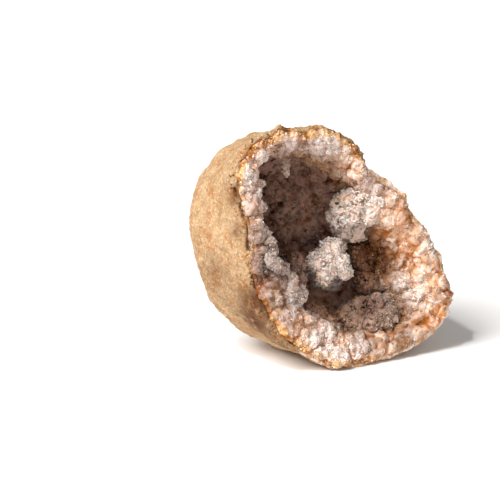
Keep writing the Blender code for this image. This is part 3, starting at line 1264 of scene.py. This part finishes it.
@dataclass
class Cluster:
    """One crystal cluster: lumpy lobes of quartz under a coat of points, paler the more frost it has and
    darker the more painted shade it is given.
    """

    node: str
    frost: float = 0.0
    # How much painted shade darkens the whole cluster.
    painted_shade: float = 0.0
    voxel_mm: float = 0.42
    sink_mm: float = 2.4
    paling: float = 0.7
    sugar_from_frost: tuple[float, float] = (1.2, 0.1)
    lumps: Nodules = Nodules(Growth.ROUND, 4.5, (2.0, 4.0), 0.8)
    beads: Nodules = Nodules(Growth.BLOCKY, 3.0, (1.5, 3.2), 0.9)
    coat: DruseCoat = DruseCoat(spacing_mm=2.2, width_mm=(1.2, 2.6), height_mm=(0.5, 1.3), lean=0.8)
    sugar: DruseCoat = DruseCoat(spacing_mm=1.6, width_mm=(1.2, 2.4), height_mm=(0.3, 0.6), lean=0.4)

    def build(self, finish: Finish, points_finish: Finish, random: Random) -> list[Piece]:
        """Makes and dresses the cluster.

        Args:
            finish: The material of the lobes.
            points_finish: The material of the points.
            random: The source of chance.

        Returns:
            The finished pieces.
        """
        piece = copy_of(self.node, f"{self.node}_lobes")
        modify(piece, "REMESH", mode="VOXEL", voxel_size=self.voxel_mm * MM)
        modify(piece, "DISPLACE", strength=-2 * self.sink_mm * MM, mid_level=0.5)
        whole = np.ones(len(piece.data.vertices))
        large = self.lumps.swell(piece, whole, random)
        small = self.beads.swell(piece, whole, random)
        self.tint(piece)
        store(piece, "tip", blend_tips(large, small))
        finish_piece(piece, finish, (self.node,), True)
        at = sample(piece, whole, self.coat.spacing_mm, random)
        points = self.coat.grow(f"{self.node}_points", at, random)
        self.tint(points)
        gain, loss = self.sugar_from_frost
        frosted = gain * patches(FROST, FACE.points(positions(piece))) - loss
        at = sample(piece, np.clip(frosted, LEAST_CHANCE, 1), self.sugar.spacing_mm, random)
        sugar = self.sugar.grow(f"{self.node}_sugar", at, random)
        self.tint(sugar)
        return [piece] + [finish_piece(coat, points_finish) for coat in (points, sugar)]

    def tint(self, piece: Piece) -> None:
        """Keeps what the colour follows for each vertex, with the cluster's own frost and painted shade.

        Args:
            piece: The lobes or the points.
        """
        fields = quartz_fields(FACE.points(positions(piece)))
        fields["frost"] = 1 - (1 - fields["frost"]) * (1 - self.frost)
        fields["deep"] *= 1 - self.paling * self.frost
        # Painted shade: the cluster's own darkening is laid over the painted shade patches, which its frost
        # holds back.
        fields["shadow"] = 1 - (1 - fields["shadow"] * (1 - self.frost)) * (1 - self.painted_shade)
        store_all(piece, fields)


# ---------------------------------------------------------------- the studio


@dataclass(frozen=True)
class Lamp:
    """A distant light: its strength, how wide it looks, and its place to the right, up and to the front."""

    name: str
    strength: float
    angle_deg: float
    place: tuple[float, float, float]

    def build(self, right: Vector, front: Vector) -> None:
        """Makes the light.

        Args:
            right: The camera's right.
            front: The level way from the stone to the camera.
        """
        light = bpy.data.lights.new(self.name, "SUN")
        light.energy = self.strength
        light.angle = math.radians(self.angle_deg)
        holder = bpy.data.objects.new(self.name, light)
        bpy.context.scene.collection.objects.link(holder)
        across, up, near = self.place
        toward = right * across + Vector((0, 0, up)) + front * near
        holder.rotation_mode = "QUATERNION"
        holder.rotation_quaternion = (-toward).to_track_quat("-Z", "Y")


@dataclass(frozen=True)
class Studio:
    """The plain pale floor, the soft lights and the camera."""

    azimuth_deg: float = -25.0
    elevation_deg: float = 15.0
    distance: float = 0.9
    view_width: float = 0.25
    sensor_mm: float = 36.0
    aim_left: float = 0.0475
    aim_up: float = 0.058
    floor: str = "#f7f5f3"
    floor_size: float = 20.0
    floor_roughness: float = 0.9
    sky: float = 0.34
    lamps: tuple[Lamp, ...] = (
        Lamp("large soft window", 3.5, 28.0, (-0.6, 0.75, 0.5)),
        Lamp("small soft lamp", 0.9, 3.0, (-0.4, 0.9, 0.5)),
        Lamp("pale card by the camera", 0.35, 40.0, (-0.05, 0.3, 1.0)),
    )

    def build(self) -> None:
        """Makes the whole studio."""
        azimuth, elevation = math.radians(self.azimuth_deg), math.radians(self.elevation_deg)
        level = Vector((math.sin(azimuth), -math.cos(azimuth), 0))
        right = Vector((math.cos(azimuth), math.sin(azimuth), 0))
        back = level * math.cos(elevation) + Vector((0, 0, math.sin(elevation)))
        foot = FACE.world(0, 0, 0)
        self.make_camera(foot - right * self.aim_left + back.cross(right) * self.aim_up, back)
        self.make_floor()
        for lamp in self.lamps:
            lamp.build(right, level)
        world = bpy.data.worlds.new("soft white studio")
        bpy.context.scene.world = world
        world.use_nodes = True
        world.node_tree.nodes["Background"].inputs["Color"].default_value = (1, 1, 1, 1)
        world.node_tree.nodes["Background"].inputs["Strength"].default_value = self.sky
        bpy.context.scene.view_settings.view_transform = "Standard"

    def make_camera(self, target: Vector, back: Vector) -> None:
        """Makes the camera.

        Args:
            target: What the camera looks at.
            back: The way from there to the camera.
        """
        camera = bpy.data.cameras.new("camera")
        camera.sensor_width = self.sensor_mm
        camera.lens = self.sensor_mm * self.distance / self.view_width
        holder = bpy.data.objects.new("camera", camera)
        bpy.context.scene.collection.objects.link(holder)
        holder.location = target + back * self.distance
        holder.rotation_mode = "QUATERNION"
        holder.rotation_quaternion = (-back).to_track_quat("-Z", "Y")
        bpy.context.scene.camera = holder

    def make_floor(self) -> None:
        """Makes the floor."""
        deselect()
        bpy.ops.mesh.primitive_plane_add(size=self.floor_size, location=(0, 0, 0))
        floor = bpy.context.object
        floor.name = "floor"
        paper = bpy.data.materials.new("pale studio paper")
        paper.use_nodes = True
        shader = paper.node_tree.nodes["Principled BSDF"]
        shader.inputs["Base Color"].default_value = linear(self.floor)
        shader.inputs["Roughness"].default_value = self.floor_roughness
        floor.data.materials.append(paper)


CLUSTERS = (
    Cluster(
        "centre_cluster", frost=0.7, sink_mm=3.2, lumps=Nodules(Growth.BLOCKY, 3.6, (2.0, 3.8), 1.0),
        coat=DruseCoat(spacing_mm=2.0, width_mm=(1.2, 2.8), height_mm=(0.6, 1.5), lean=0.9),
    ),
    Cluster("shoulder_cluster", frost=0.65, sink_mm=2.0),
    Cluster("right_ridge", painted_shade=0.3),
    Cluster(
        "left_knob", frost=0.6, sink_mm=2.0, lumps=Nodules(Growth.ROUND, 3.0, (1.2, 2.2), 0.6),
        beads=Nodules(Growth.BLOCKY, 2.2, (1.0, 1.8), 0.6),
    ),
    Cluster("left_ledge", frost=0.5),
    Cluster("grey_nodules", frost=0.15),
    Cluster("back_nodules"),
    Cluster("floor_nodules", painted_shade=0.3),
    Cluster("floor_ridge", frost=0.15),
    Cluster(
        "roof_finger", frost=0.3, sink_mm=0.6, lumps=Nodules(Growth.ROUND, 2.6, (0.9, 1.4), 0.4),
        beads=Nodules(Growth.BLOCKY, 1.8, (0.7, 1.2), 0.5),
    ),
)


def main() -> None:
    """Builds the stone and the studio."""
    logging.basicConfig(level=logging.INFO, format="%(name)s %(message)s")
    random = np.random.default_rng(SEED)
    limestone = WeatheredLimestone().build()
    milky = MilkyQuartz().build()
    drusy = DrusyQuartz().build()
    Rind().build(limestone)
    QuartzWall().build(milky, drusy, random)
    for cluster in CLUSTERS:
        cluster.build(milky, drusy, random)
    Studio().build()


if __name__ == "__main__":
    main()
